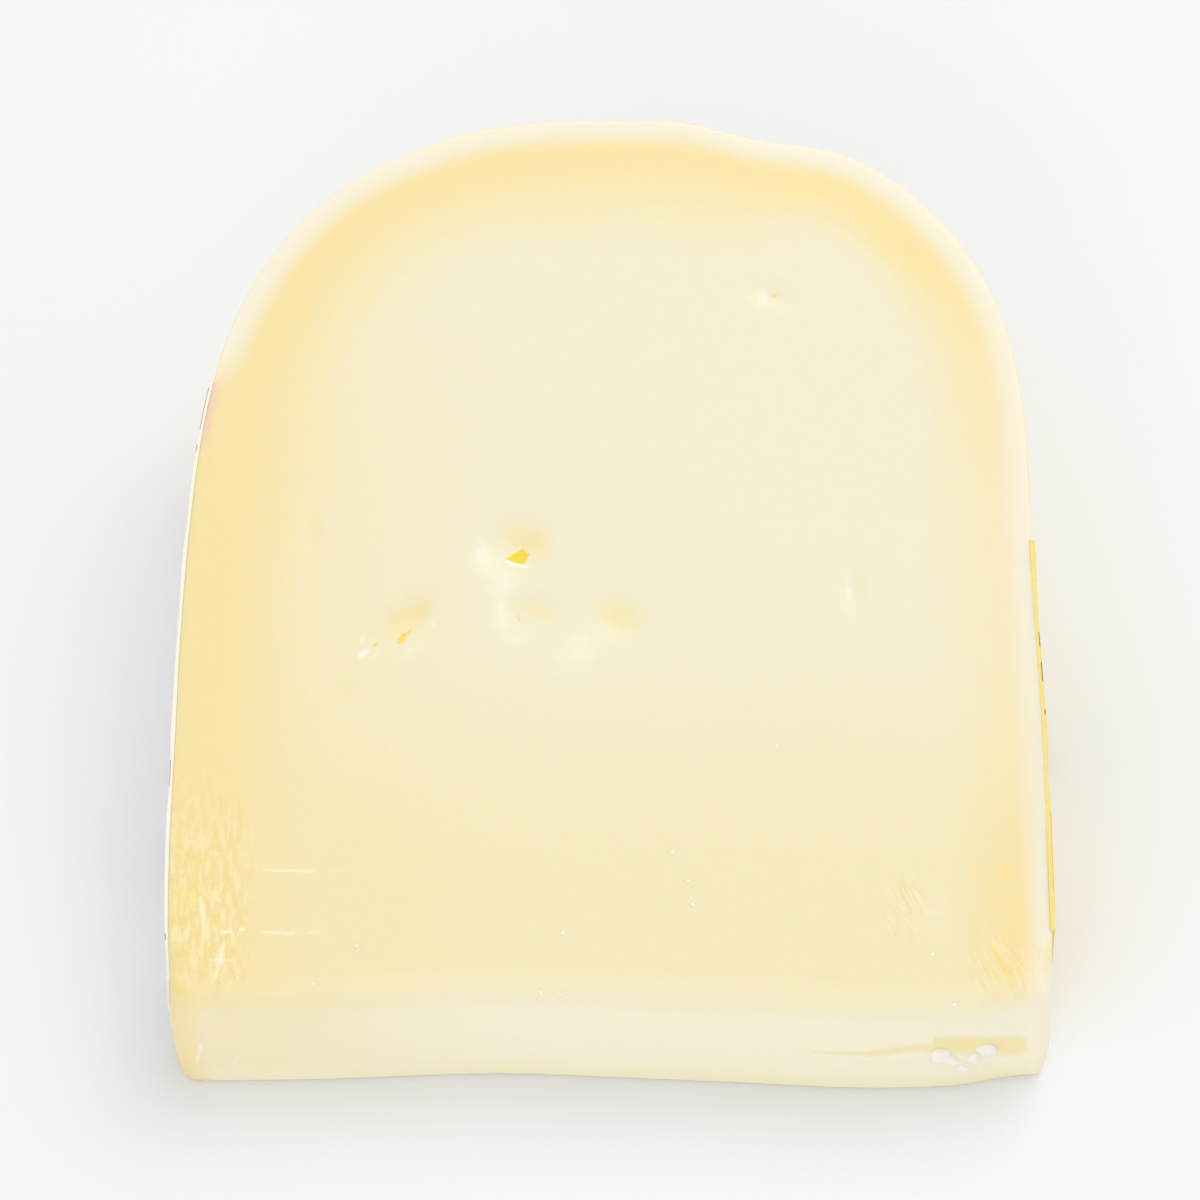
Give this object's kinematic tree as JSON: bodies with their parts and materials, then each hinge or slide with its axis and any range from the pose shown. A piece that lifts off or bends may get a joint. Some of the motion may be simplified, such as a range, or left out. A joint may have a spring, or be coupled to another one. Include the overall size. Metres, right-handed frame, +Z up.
{
  "type": "cheese wedge",
  "caption": "Blunt wedge of pale yellow wheel cheese lying on a cut face, with rounded rim, small eyes, a crack at the front corner and slim cut labels on its sides.",
  "frame": {"origin": "centre of the bounding box's underside, on the surface the wedge lies on", "axes": "+Z up from the lower cut face; +Y from the blunt inner end to the wheel's rim; X along the wheel's axis, across the flat rind sides"},
  "size_m": [0.112, 0.121, 0.0516],
  "materials": {
    "cheese_paste": "satin, slightly translucent",
    "white_paper": "printed paper",
    "yellow_paper": "printed paper"
  },
  "bodies": {
    "root": {"cheese": "cheese_paste", "label_left": "white_paper", "label_right": "yellow_paper"}
  },
  "joints": []
}
